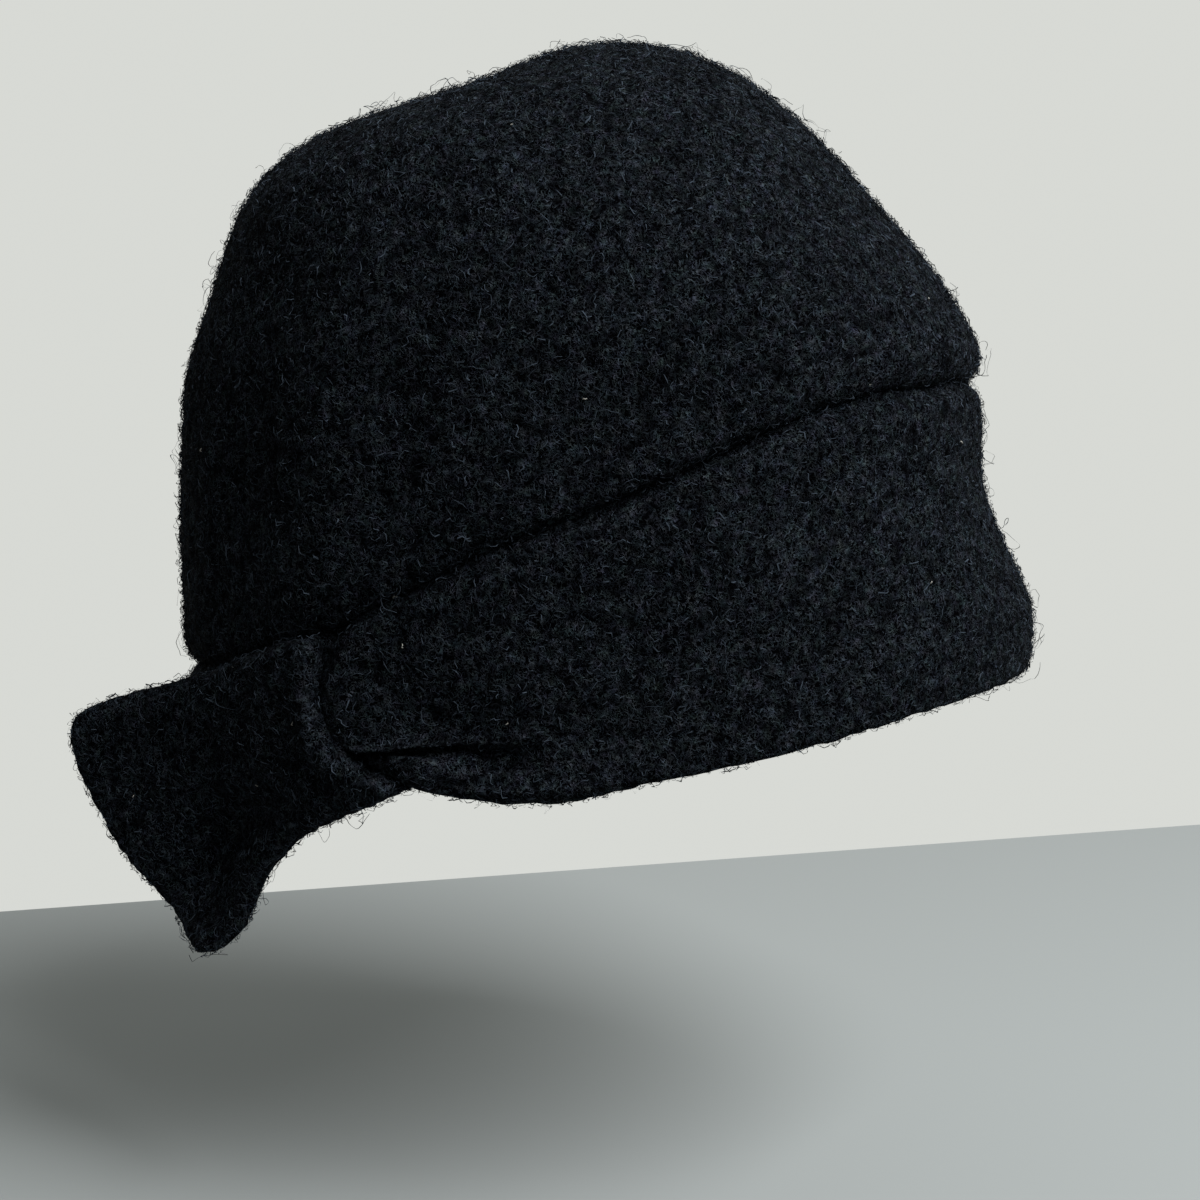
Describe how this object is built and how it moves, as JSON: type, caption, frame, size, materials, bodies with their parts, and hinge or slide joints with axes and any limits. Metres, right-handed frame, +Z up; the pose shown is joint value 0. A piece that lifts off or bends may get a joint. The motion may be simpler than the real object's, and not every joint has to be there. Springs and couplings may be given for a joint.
{
  "type": "wool hat",
  "caption": "Soft cloche-style hat of black boiled wool: a domed crown, a deep band that flares at the front, and a flared bow tail at the right rear.",
  "frame": {"origin": "centre of the head opening, at the mean height of the rim, where a head carries the hat", "axes": "+Z up as worn, the front of the hat faces -Y and the wearer's right is -X"},
  "size_m": [0.1816, 0.2607, 0.2347],
  "materials": {
    "boiled_wool": "matt, felted and slightly hairy"
  },
  "bodies": {
    "root": {"crown": "boiled_wool", "band": "boiled_wool", "bow_tail": "boiled_wool"}
  },
  "joints": []
}
